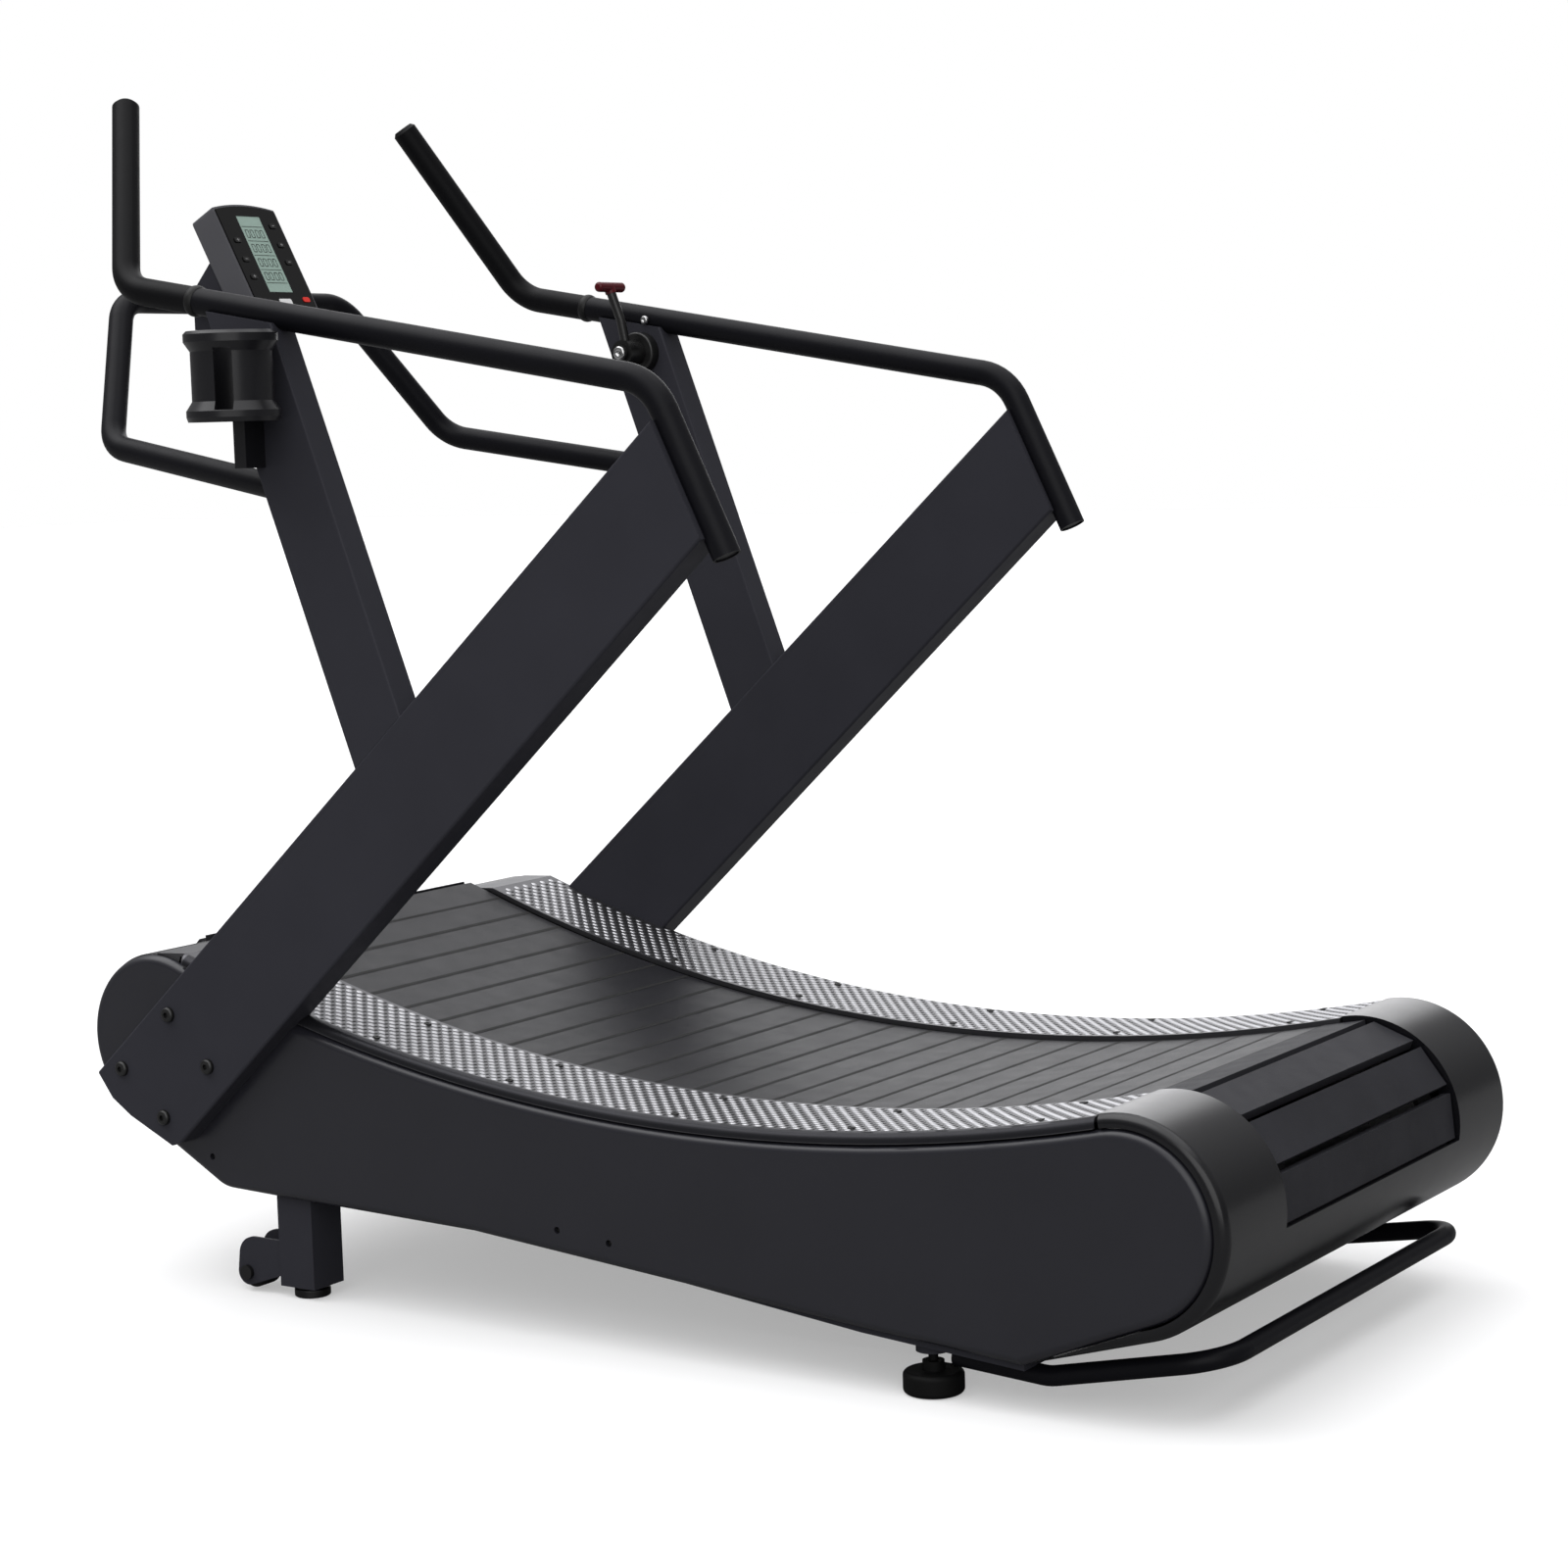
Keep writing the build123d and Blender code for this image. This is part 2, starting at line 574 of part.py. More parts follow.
ENDS = (
    ("rear_cover", REAR_AXIS, ANGLE_REAR_UP, REAR_CORNER, -1, pi + 0.14, CAP_OFF, CAP_OUT, 12.0),
    ("front_cover", FRONT_AXIS, ANGLE_FRONT_UP, NOSE_CORNER, 1, -0.3, NOSE_OFF, NOSE_OUT, 2.0),
)
for label, axis, up, corner, turn, lip_angle, off, outer_y, rim_radius in ENDS:
    with BuildPart() as end_cover:
        for side, name in SIDES:
            with BuildSketch(side_view(side, CAP_IN, outer_y)):
                end_band(axis, up, corner, turn, off, off - CAP_SKIN)
            extrude(amount=outer_y - CAP_IN)
            with BuildSketch(side_view(side, CAP_IN, CAP_IN + 3)):
                end_band(axis, up, corner, turn, off, 2.0)
            extrude(amount=3.0)
            if off < CAP_OFF:
                with BuildSketch(side_view(side, CAP_IN, CAP_IN + 3)):
                    end_band(axis, up, corner, turn, CAP_OFF, off - CAP_SKIN, start=lip_angle)
                extrude(amount=3.0)
            else:
                with BuildSketch(side_view(side, outer_y - 9, outer_y)):
                    end_band(axis, up, corner, turn, off, COVER_OFF + 2)
                extrude(amount=9.0)
                with BuildSketch(side_view(side, PLATE_IN, PLATE_OUT)):
                    end_band(axis, up, corner, turn, off, RAIL_LOW_OFF)
                extrude(amount=PLATE_OUT - PLATE_IN)
        with BuildSketch(across(-CAP_IN, CAP_IN)):
            end_band(axis, up, corner, turn, CAP_OFF, CAP_OFF - CAP_SKIN, start=lip_angle)
        extrude(amount=2 * CAP_IN)
        rims = end_cover.edges().filter_by(GeomType.CIRCLE).filter_by(
            lambda e: abs(abs(e.center().Y) - outer_y) < 0.5 and abs(e.radius - PITCH_R - off) < 0.1
        )
        fillet(rims, radius=rim_radius)
        for side, name in SIDES:
            with BuildSketch(side_view(side, POST_IN, POST_OUT)):
                outline(post_corners(0))
            extrude(amount=POST_OUT - POST_IN, mode=Mode.SUBTRACT)
            with BuildSketch(side_view(side, COVER_IN - 1, COVER_OUT)):
                cover_outline(-1.0)
            extrude(amount=COVER_OUT - COVER_IN + 1, mode=Mode.SUBTRACT)
    built[label] = end_cover

# ---- uprights and rails -------------------------------------------------------------------
for side, name in SIDES:
    with BuildPart() as main_post:
        with BuildSketch(side_view(side, POST_IN, POST_OUT)):
            outline(post_corners(0))
        extrude(amount=POST_OUT - POST_IN)
        fillet(main_post.edges().filter_by(lambda e: e.length > 800), radius=4.0)
        with BuildSketch(side_view(side, POST_IN + WALL, POST_OUT - WALL)):
            outline(post_corners(WALL))
        extrude(amount=POST_OUT - POST_IN - 2 * WALL, mode=Mode.SUBTRACT)
        with BuildSketch(side_view(side, POST_IN, POST_OUT)):
            with Locations(*BOLTS):
                Circle(6.2)
        extrude(amount=POST_OUT - POST_IN, mode=Mode.SUBTRACT)
        tube_along(rail_points(side)[:3], 75.0, TUBE_R, mode=Mode.SUBTRACT)
    built[f"main_post_{name}"] = main_post

for side, name in SIDES:
    with BuildPart() as front_post:
        with BuildSketch(side_view(side, FORK_IN, FORK_OUT)):
            outline(fork_corners(0))
        extrude(amount=FORK_OUT - FORK_IN)
        fillet(front_post.edges().filter_by(lambda e: e.length > 400), radius=3.0)
        with BuildSketch(side_view(side, FORK_IN + WALL, FORK_OUT - WALL)):
            outline(fork_corners(WALL))
        extrude(amount=FORK_OUT - FORK_IN - 2 * WALL, mode=Mode.SUBTRACT)
        tube_along(rail_points(side)[:3], 75.0, TUBE_R, mode=Mode.SUBTRACT)
    built[f"front_post_{name}"] = front_post

with BuildPart() as post_bolts:
    for side, name in SIDES:
        with BuildSketch(side_view(side, 397.7, POST_OUT)):
            with Locations(*BOLTS):
                Circle(6.0)
        extrude(amount=POST_OUT - 397.7)
        with BuildSketch(side_view(side, POST_OUT, POST_OUT + 6.5)):
            with Locations(*BOLTS):
                Circle(10.5)
        extrude(amount=6.5)
        with BuildSketch(side_view(side, POST_OUT + 3.0, POST_OUT + 6.5)):
            with Locations(*BOLTS):
                RegularPolygon(4.2, 6)
        extrude(amount=3.5, mode=Mode.SUBTRACT)
    heads = post_bolts.edges().filter_by(GeomType.CIRCLE).filter_by(lambda e: e.radius > 10)
    fillet(heads.filter_by(lambda e: abs(e.center().Y) > POST_OUT + 6), radius=4.0)
built["post_bolts"] = post_bolts

for side, name in SIDES:
    route = rail_points(side)
    with BuildPart() as handrail:
        tube_along(route[:2] + [(RAIL_SEAM[0], route[0][1], RAIL_SEAM[1])], 75.0, TUBE_R, TUBE_R - 2.7)
        aim = unit(RAIL_BEND, HORN_BEND)
        start = reach(RAIL_SEAM, aim, -30.0)
        tube_along([(start[0], route[0][1], start[1])] + route[2:], 60.0, CORE_R, CORE_R - 2.5)
    built[f"handrail_{name}"] = handrail

for side, name in SIDES:
    route = rail_points(side)
    seam = (RAIL_SEAM[0], route[0][1], RAIL_SEAM[1])
    tip = Vector(*route[3])
    rise = (tip - Vector(*route[2])).normalized()
    with BuildPart() as horn_grip:
        tube_along([seam, route[2], route[3]], 60.0, GRIP_R, CORE_R)
        with BuildSketch(Plane(origin=tip, z_dir=rise)):
            Circle(GRIP_R)
        extrude(amount=2.0)
        with BuildSketch(Plane(origin=tip + rise * 2.0, z_dir=rise)):
            Circle(GRIP_R)
        extrude(amount=5.0, taper=42)
    built[f"horn_grip_{name}"] = horn_grip

with BuildPart() as rail_plugs:
    for side, name in SIDES:
        slope = unit(RAIL_END, RAIL_BEND)
        base = Plane(origin=(RAIL_END[0], side * RAIL_Y, RAIL_END[1]), z_dir=(slope[0], 0, slope[1]))
        with BuildSketch(base.offset(2.0)):
            Circle(TUBE_R - 2.7)
        extrude(amount=14.0)
built["rail_plugs"] = rail_plugs

with BuildPart() as loop_bar:
    tube_along(loop_bar_points(), 60.0, LOOP_R, LOOP_R - 2.5)
    for side, name in SIDES:
        with BuildSketch(side_view(side, FORK_IN - 20, FORK_OUT + 20)):
            outline(fork_corners(0))
        extrude(amount=FORK_OUT - FORK_IN + 40, mode=Mode.SUBTRACT)
    keep = loop_bar.solids().sort_by(SortBy.VOLUME)[-1]
built["loop_bar"] = keep

# ---- console ------------------------------------------------------------------------------
UP = (sin(TILT), 0.0, cos(TILT))
OUT = (-cos(TILT), 0.0, sin(TILT))
FACE = Plane(origin=FACE_CENTRE, x_dir=(0, -1, 0), z_dir=OUT)


def console_outline(inset, corner):
    """Console face moved inward by inset: rounded corners and a crowned top edge."""
    RectangleRounded(FACE_W - 2 * inset, FACE_H - 2 * inset, corner)
    with Locations((0, FACE_H / 2 - CROWN_R)):
        Circle(CROWN_R - inset, mode=Mode.INTERSECT)


with BuildPart() as console_shell:
    with BuildSketch(FACE.offset(-FACE_DEPTH)):
        console_outline(0.0, 12.0)
    extrude(amount=FACE_DEPTH)
    back = console_shell.faces().sort_by(lambda f: f.center().dot(Vector(*OUT)))[0]
    fillet(back.edges(), radius=4.0)
    with BuildSketch(FACE.offset(-FACE_DEPTH + 3.0)):
        console_outline(4.0, 8.0)
    extrude(amount=FACE_DEPTH, mode=Mode.SUBTRACT)
built["console_shell"] = console_shell

with BuildPart() as console_bezel:
    with BuildSketch(FACE.offset(-3.0)):
        console_outline(4.0, 8.0)
    extrude(amount=5.0)
    with BuildSketch(FACE.offset(-4.0)):
        with Locations((0, LCD_V)):
            Rectangle(LCD_W, LCD_H)
        with Locations(*BUTTONS):
            RectangleRounded(13.6, 8.6, 2.8)
    extrude(amount=8.0, mode=Mode.SUBTRACT)
built["console_bezel"] = console_bezel

with BuildPart() as console_screen:
    with BuildSketch(FACE.offset(-2.6)):
        with Locations((0, LCD_V)):
            Rectangle(LCD_W, LCD_H)
    extrude(amount=4.0)
built["console_screen"] = console_screen

for i, (u, v) in enumerate(BUTTONS):
    with BuildPart() as button:
        with BuildSketch(FACE.offset(-5.0)):
            with Locations((u, v)):
                RectangleRounded(13.0, 8.0, 2.5)
        extrude(amount=8.6)
        with BuildSketch(FACE.offset(-6.5)):
            with Locations((u, v)):
                RectangleRounded(16.0, 11.0, 3.0)
        extrude(amount=1.5)
    built[f"button_{i + 1}"] = button

BAR = (LOOP_TOP[0], LOOP_TOP[2])
with BuildPart() as console_bracket:
    foot = (FACE_CENTRE[0] - OUT[0] * FACE_DEPTH, FACE_CENTRE[2] - OUT[2] * FACE_DEPTH)
    high = (foot[0] + UP[0] * 20, foot[1] + UP[2] * 20)
    low = (foot[0] - UP[0] * 70, foot[1] - UP[2] * 70)
    with BuildSketch(across(-62.0, 62.0)):
        outline([high, low, (low[0] + 4, 1318.0), (912.0, 1318.0), (912.0, 1374.0)])
        with Locations(BAR):
            Circle(LOOP_R, mode=Mode.SUBTRACT)
    extrude(amount=124.0)
built["console_bracket"] = console_bracket

# ---- bottle holder ------------------------------------------------------------------------
with BuildPart() as bottle_holder:
    with BuildSketch(Plane.XZ.offset(-HOLDER_Y)):
        with BuildLine():
            Polyline(
                (HOLDER_X, HOLDER_LOW + 6),
                (HOLDER_X + 50, HOLDER_LOW + 6),
                (HOLDER_X + 58, HOLDER_LOW),
                (HOLDER_X + 60, HOLDER_LOW + 6),
                (HOLDER_X + 60, HOLDER_LOW + 14),
                (HOLDER_X + 52, HOLDER_LOW + 26),
                (HOLDER_X + 52, HOLDER_HIGH - 26),
                (HOLDER_X + 60, HOLDER_HIGH - 14),
                (HOLDER_X + 60, HOLDER_HIGH - 4),
                (HOLDER_X + 56, HOLDER_HIGH),
                (HOLDER_X + 49, HOLDER_HIGH - 4),
                (HOLDER_X + 48, HOLDER_HIGH - 20),
                (HOLDER_X + 48, HOLDER_LOW + 12),
                (HOLDER_X, HOLDER_LOW + 12),
                close=True,
            )
        make_face()
    revolve(axis=Axis((HOLDER_X, HOLDER_Y, 0), (0, 0, 1)), revolution_arc=360.0)
    with BuildSketch(Plane(origin=(HOLDER_X, HOLDER_Y, HOLDER_LOW + 15), z_dir=(0, 0, 1))):
        with PolarLocations(50.0, 1, start_angle=degrees(SLOT_ANGLE)):
            Rectangle(40.0, 24.0)
    extrude(amount=HOLDER_HIGH - HOLDER_LOW - 37, mode=Mode.SUBTRACT)
    with BuildSketch(Plane.XY.offset(1122.0)):
        with Locations((HOLDER_X + 16, (FORK_OUT + 490.0) / 2)):
            Rectangle(20.0, 490.0 - FORK_OUT)
    extrude(amount=HOLDER_LOW + 8 - 1122.0)
built["bottle_holder"] = bottle_holder

# ---- resistance lever ---------------------------------------------------------------------
with BuildPart() as lever_base:
    with BuildSketch(across(-FORK_IN, -391.0)):
        with Locations(LEVER_AXIS):
            Circle(31.0)
    extrude(amount=FORK_IN - 391.0)
    rim = lever_base.edges().filter_by(GeomType.CIRCLE).sort_by(Axis.Y)[-1]
    fillet(rim, radius=3.0)
    with BuildSketch(across(-391.0, -356.0)):
        with Locations(LEVER_AXIS):
            Circle(6.0)
    extrude(amount=35.0)
    with BuildSketch(across(-356.0, -350.0)):
        with Locations(LEVER_AXIS):
            Circle(12.0)
    extrude(amount=6.0)
built["lever_base"] = lever_base

with BuildPart() as lever_arm:
    with BuildSketch(across(-390.5, -356.5)):
        with Locations(LEVER_AXIS):
            Circle(19.0)
    extrude(amount=34.0)
    root = (LEVER_AXIS[0], -372.0, LEVER_AXIS[1])
    tube_along([root, LEVER_KINK, LEVER_TIP], 40.0, 7.0)
    with BuildSketch(across(-390.6, -356.4)):
        with Locations(LEVER_AXIS):
            Circle(6.0 + RUN)
    extrude(amount=34.2, mode=Mode.SUBTRACT)
built["lever_arm"] = lever_arm

with BuildPart() as lever_knob:
    with BuildSketch(across(-390.0, -326.0)):
        with Locations((LEVER_TIP[0] + 1.5, LEVER_TIP[2] + 9.0)):
            Circle(7.5)
    extrude(amount=64.0)
    fillet(lever_knob.edges().filter_by(GeomType.CIRCLE), radius=5.0)
    climb = (Vector(*LEVER_TIP) - Vector(*LEVER_KINK)).normalized()
    with BuildSketch(Plane(origin=LEVER_TIP, z_dir=climb)):
        Circle(8.5)
    extrude(amount=9.0)
built["lever_knob"] = lever_knob

# ---- running loop -------------------------------------------------------------------------
ARC_LEN = (ARC_FRONT - ARC_REAR) * ARC_R
FRONT_LEN = (ANGLE_FRONT_UP - ANGLE_DOWN) * PITCH_R
LINE_LEN = hypot(FRONT_AXIS[0] - REAR_AXIS[0], FRONT_AXIS[1] - REAR_AXIS[1])
REAR_LEN = (ANGLE_DOWN + 2 * pi - ANGLE_REAR_UP) * PITCH_R
LOOP_LEN = ARC_LEN + FRONT_LEN + LINE_LEN + REAR_LEN
SLAT_PITCH = LOOP_LEN / SLAT_COUNT


def loop_point(s):
    """Point on the pitch line, its outward normal and the name of the run it lies on."""
    s = s % LOOP_LEN
    if s < ARC_LEN:
        a = ARC_REAR + s / ARC_R
        run = "slats_top_rear" if s < ARC_LEN / 2 else "slats_top_front"
        return around(ARC_CENTRE, ARC_R, a), (-cos(a), -sin(a)), run
    s -= ARC_LEN
    if s < FRONT_LEN:
        a = ANGLE_FRONT_UP - s / PITCH_R
        return around(FRONT_AXIS, PITCH_R, a), (cos(a), sin(a)), "slats_front_wrap"
    s -= FRONT_LEN
    if s < LINE_LEN:
        start = reach(FRONT_AXIS, DOWN, PITCH_R)
        return reach(start, ALONG, -s), DOWN, "slats_return"
    s -= LINE_LEN
    a = ANGLE_DOWN + 2 * pi - s / PITCH_R
    return around(REAR_AXIS, PITCH_R, a), (cos(a), sin(a)), "slats_rear_wrap"


RUNS = {}
for i in range(SLAT_COUNT):
    place = (ANGLE_REAR_UP - JOINT_ANGLE) * PITCH_R + (i + 0.5) * SLAT_PITCH
    point, normal, run = loop_point(place)
    RUNS.setdefault(run, []).append((point, normal))

for label, places in RUNS.items():
    with BuildPart() as slats:
        for point, normal in places:
            seat = Plane(
                origin=(point[0], -SLAT_HALF, point[1]),
                x_dir=(-normal[1], 0, normal[0]),
                z_dir=(0, 1, 0),
            )
            with BuildSketch(seat):
                with Locations((0, (SLAT_TOP + SLAT_FOOT) / 2)):
                    Rectangle(SLAT_WIDTH, SLAT_TOP - SLAT_FOOT)
                with Locations((0, SLAT_FOOT / 2)):
                    Rectangle(24.0, SLAT_FOOT)
        extrude(amount=2 * SLAT_HALF)
    built[label] = slats

with BuildPart() as carrier_belts:
    for side, name in SIDES:
        with BuildSketch(side_view(side, BELT_INNER_Y, BELT_OUTER_Y)):
            with BuildLine():
                loop_line(-0.1)
            make_face()
            with BuildLine():
                loop_line(-BELT_THICK)
            make_face(mode=Mode.SUBTRACT)
        extrude(amount=BELT_OUTER_Y - BELT_INNER_Y)
built["carrier_belts"] = carrier_belts

for label, axis in (("rear_drum", REAR_AXIS), ("front_drum", FRONT_AXIS)):
    with BuildPart() as drum:
        with BuildSketch(across(-349.0, 349.0)):
            with Locations(axis):
                Circle(15.0)
        extrude(amount=698.0)
        with BuildSketch(across(-244.0, 244.0)):
            with Locations(axis):
                Circle(38.0)
        extrude(amount=488.0)
        for side, name in SIDES:
            with BuildSketch(side_view(side, BELT_INNER_Y - 3, BELT_OUTER_Y + 3)):
                with Locations(axis):
                    Circle(PITCH_R - BELT_THICK - 0.4)
            extrude(amount=BELT_OUTER_Y - BELT_INNER_Y + 6)
        if label == "front_drum":
            with BuildSketch(across(-282.0, -268.0)):
                with Locations(axis):
                    Circle(60.0)
            extrude(amount=14.0)
    built[label] = drum

with BuildPart() as bearing_blocks:
    for axis in (REAR_AXIS, FRONT_AXIS):
        for side, name in SIDES:
            with BuildSketch(side_view(side, 320.0, PLATE_IN)):
                with Locations(axis):
                    Circle(42.0)
                    Circle(15.0 + RUN, mode=Mode.SUBTRACT)
            extrude(amount=PLATE_IN - 320.0)
    with BuildSketch(across(-PLATE_IN, -322.0)):
        with Locations(FLY_AXIS):
            Circle(28.0)
            Circle(10.0 + RUN, mode=Mode.SUBTRACT)
    extrude(amount=PLATE_IN - 322.0)
built["bearing_blocks"] = bearing_blocks

# ---- brake --------------------------------------------------------------------------------
with BuildPart() as flywheel:
    with BuildSketch(across(-349.0, -266.0)):
        with Locations(FLY_AXIS):
            Circle(10.0)
    extrude(amount=83.0)
    with BuildSketch(across(-282.0, -268.0)):
        with Locations(FLY_AXIS):
            Circle(20.0)
    extrude(amount=14.0)
    with BuildSketch(across(-312.0, -292.0)):
        with Locations(FLY_AXIS):
            Circle(FLY_R)
    extrude(amount=20.0)
built["flywheel"] = flywheel

with BuildPart() as drive_belt:
    with BuildSketch(across(-280.0, -270.0)) as ring:
        with Locations(FRONT_AXIS):
            Circle(64.4)
        with Locations(FLY_AXIS):
            Circle(24.4)
        make_hull()
        with BuildSketch(mode=Mode.PRIVATE) as hollow:
            with Locations(FRONT_AXIS):
                Circle(60.4)
            with Locations(FLY_AXIS):
                Circle(20.4)
            make_hull()
        add(hollow.sketch, mode=Mode.SUBTRACT)
    extrude(amount=10.0)
built["drive_belt"] = drive_belt

with BuildPart() as magnet_arm:
    with BuildSketch(across(-311.0, -293.0)):
        with BuildLine():
            first, last = radians(232.0), radians(288.0)
            a = [around(FLY_AXIS, 88.5, t) for t in (first, (first + last) / 2, last)]
            b = [around(FLY_AXIS, 106.0, t) for t in (last, (first + last) / 2, first)]
            ThreePointArc(*a)
            Line(a[2], b[0])
            ThreePointArc(*b)
            Line(b[2], a[0])
        make_face()
    extrude(amount=18.0)
    with BuildSketch(across(-311.0, -293.0)):
        with Locations(ARM_PIVOT):
            Circle(12.0)
        outline([a[0], b[2], (469.0, 231.0), (482.0, 249.0)])
        with Locations(ARM_PIVOT):
            Circle(6.0 + RUN, mode=Mode.SUBTRACT)
    extrude(amount=18.0)
built["magnet_arm"] = magnet_arm

# ---- export -------------------------------------------------------------------------------
for label, source in built.items():
    shape = source.part if isinstance(source, BuildPart) else source
    shape = shape.moved(Location(FRAME_SHIFT))
    shape.label = label
    export_step(shape, f"parts/{label}.step")
    print(label, len(shape.solids()), round(shape.volume / 1000.0, 1))
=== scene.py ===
"""Looks of a curved manual treadmill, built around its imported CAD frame. Metres, +Z up."""

import json
from math import atan2, cos, pi, radians, sin, sqrt

import bmesh
import bpy
from mathutils import Matrix, Vector


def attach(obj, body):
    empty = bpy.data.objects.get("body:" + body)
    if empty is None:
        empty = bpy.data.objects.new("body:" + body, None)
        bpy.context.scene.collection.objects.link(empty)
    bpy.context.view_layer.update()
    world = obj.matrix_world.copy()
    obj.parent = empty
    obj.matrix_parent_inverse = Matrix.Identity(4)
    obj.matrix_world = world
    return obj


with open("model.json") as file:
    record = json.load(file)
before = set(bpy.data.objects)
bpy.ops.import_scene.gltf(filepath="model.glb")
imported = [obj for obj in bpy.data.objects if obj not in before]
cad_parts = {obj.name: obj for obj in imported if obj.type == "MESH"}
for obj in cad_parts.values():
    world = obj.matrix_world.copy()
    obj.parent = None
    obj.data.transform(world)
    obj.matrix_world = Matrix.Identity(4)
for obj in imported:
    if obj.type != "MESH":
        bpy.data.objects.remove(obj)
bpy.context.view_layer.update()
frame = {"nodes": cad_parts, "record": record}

# middle plane of the machine along Y; the bottle holder pushes the box to one side
YS = -0.0564
# drum axes and the centre and radius of the curved running surface, as (x, z)
REAR_AXIS = (-0.775, 0.2386)
FRONT_AXIS = (0.713, 0.3428)
ARC = (-0.207, 2.8045)
ARC_R = 2.518
# angles about ARC of the joints between slats
FIRST_JOINT, JOINT_STEP, LAST_JOINT = -1.77792, 0.0240577, -1.2131
# heights over ARC_R of the slat faces, the foot rail top and the side cover top
SLAT_OFF, RAIL_OFF, COVER_OFF = 0.016, 0.022, 0.006
RAIL_OUT, COVER_OUT = 0.421, 0.425
COVER_R = 0.116
SIDES = ((1, "left"), (-1, "right"))


# ---- materials ----------------------------------------------------------------------------
def link(tree, a, b):
    tree.links.new(a, b)


def material(
    name,
    color,
    rough,
    metal=0.0,
    grain=0.0,
    grain_scale=900.0,
    spread=0.12,
    cell=False,
    spec=0.35,
):
    """Procedural material: colour and roughness wander a little, grain adds a fine bump."""
    m = bpy.data.materials.new(name)
    m.use_nodes = True
    tree = m.node_tree
    nodes = tree.nodes
    shader = nodes["Principled BSDF"]
    shader.inputs["Metallic"].default_value = metal
    shader.inputs["Specular IOR Level"].default_value = spec
    coords = nodes.new("ShaderNodeTexCoord")
    cloud = nodes.new("ShaderNodeTexNoise")
    cloud.inputs["Scale"].default_value = 9.0
    cloud.inputs["Detail"].default_value = 3.0
    link(tree, coords.outputs["Object"], cloud.inputs["Vector"])
    tint = nodes.new("ShaderNodeMix")
    tint.data_type = "RGBA"
    tint.inputs[6].default_value = [c * (1 - spread) for c in color] + [1]
    tint.inputs[7].default_value = [min(1.0, c * (1 + spread)) for c in color] + [1]
    link(tree, cloud.outputs["Fac"], tint.inputs[0])
    link(tree, tint.outputs[2], shader.inputs["Base Color"])
    spot = nodes.new("ShaderNodeTexNoise")
    spot.inputs["Scale"].default_value = 30.0
    spot.inputs["Detail"].default_value = 4.0
    link(tree, coords.outputs["Object"], spot.inputs["Vector"])
    wear = nodes.new("ShaderNodeMapRange")
    wear.inputs["To Min"].default_value = rough * 0.88
    wear.inputs["To Max"].default_value = min(1.0, rough * 1.14)
    link(tree, spot.outputs["Fac"], wear.inputs["Value"])
    link(tree, wear.outputs["Result"], shader.inputs["Roughness"])
    if grain > 0:
        fine = nodes.new("ShaderNodeTexVoronoi" if cell else "ShaderNodeTexNoise")
        fine.inputs["Scale"].default_value = grain_scale
        link(tree, coords.outputs["Object"], fine.inputs["Vector"])
        bump = nodes.new("ShaderNodeBump")
        bump.inputs["Strength"].default_value = grain
        bump.inputs["Distance"].default_value = 0.0004
        link(tree, fine.outputs["Distance" if cell else "Fac"], bump.inputs["Height"])
        link(tree, bump.outputs["Normal"], shader.inputs["Normal"])
    return m


def srgb(v):
    """Linear value of an 8-bit display value."""
    v = v / 255
    return v / 12.92 if v <= 0.04045 else ((v + 0.055) / 1.055) ** 2.4


def grey(v, cool=0.0):
    """Neutral colour of a display value, a little bluer by cool."""
    return (srgb(v), srgb(v), srgb(v + cool))


MATS = {
    "frame_paint": material(
        "frame_paint", grey(50, 6), 0.50, grain=0.05, grain_scale=1400, spec=0.12,
    ),
    "plate_steel": material("plate_steel", grey(20), 0.55, grain=0.08, spec=0.2),
    "slide_plastic": material("slide_plastic", grey(200), 0.5),
    "bright_steel": material("bright_steel", grey(62), 0.38, metal=0.9, grain=0.05),
    "wheel_rubber": material("wheel_rubber", grey(26), 0.6, grain=0.2, spec=0.2),
    "foot_steel": material("foot_steel", grey(60), 0.38, metal=1.0),
    "foot_rubber": material("foot_rubber", grey(10), 0.62, grain=0.2, spec=0.15),
    "cover_shell": material(
        "cover_shell", grey(34, 6), 0.30, grain=0.05, grain_scale=1100, spec=0.46,
    ),
    "rail_metal": material("rail_metal", grey(92, 3), 0.40, metal=0.9, grain=0.08),
    "cap_gloss": material("cap_gloss", grey(14, 3), 0.24, grain=0.03, spec=0.43),
    "grip_rubber": material(
        "grip_rubber", grey(13, 2), 0.46, grain=0.04, grain_scale=2500, spec=0.11,
    ),
    "black_plastic": material("black_plastic", grey(24), 0.45, grain=0.15, spec=0.25),
    "bezel_gloss": material("bezel_gloss", grey(4), 0.12, spec=0.25),
    "screen": material("screen", (srgb(150), srgb(172), srgb(162)), 0.25, spec=0.25),
    "button_plastic": material("button_plastic", grey(30), 0.35, spec=0.25),
    "holder_plastic": material("holder_plastic", grey(24, 3), 0.30, grain=0.04, spec=0.38),
    "chrome_steel": material("chrome_steel", grey(62), 0.28, metal=0.9),
    "knob_red": material("knob_red", (srgb(78), srgb(8), srgb(18)), 0.3, spec=0.3),
    "slat_rubber": material(
        "slat_rubber", grey(26, 4), 0.44, grain=0.35, grain_scale=900, cell=True, spread=0.25,
        spec=0.18,
    ),
    "belt_rubber": material("belt_rubber", grey(12), 0.7, grain=0.3, spec=0.2),
    "drum_alloy": material("drum_alloy", grey(150), 0.4, metal=1.0),
    "cast_housing": material("cast_housing", grey(50), 0.6, grain=0.3),
    "flywheel_iron": material("flywheel_iron", grey(90), 0.4, metal=1.0),
}
# painted highlight: the tread studs get a far lighter copy of the rail metal they belong to,
# for the light on their tops
STUD_HIGHLIGHT = material("stud_metal_highlight", grey(180, 3), 0.34, metal=0.9)
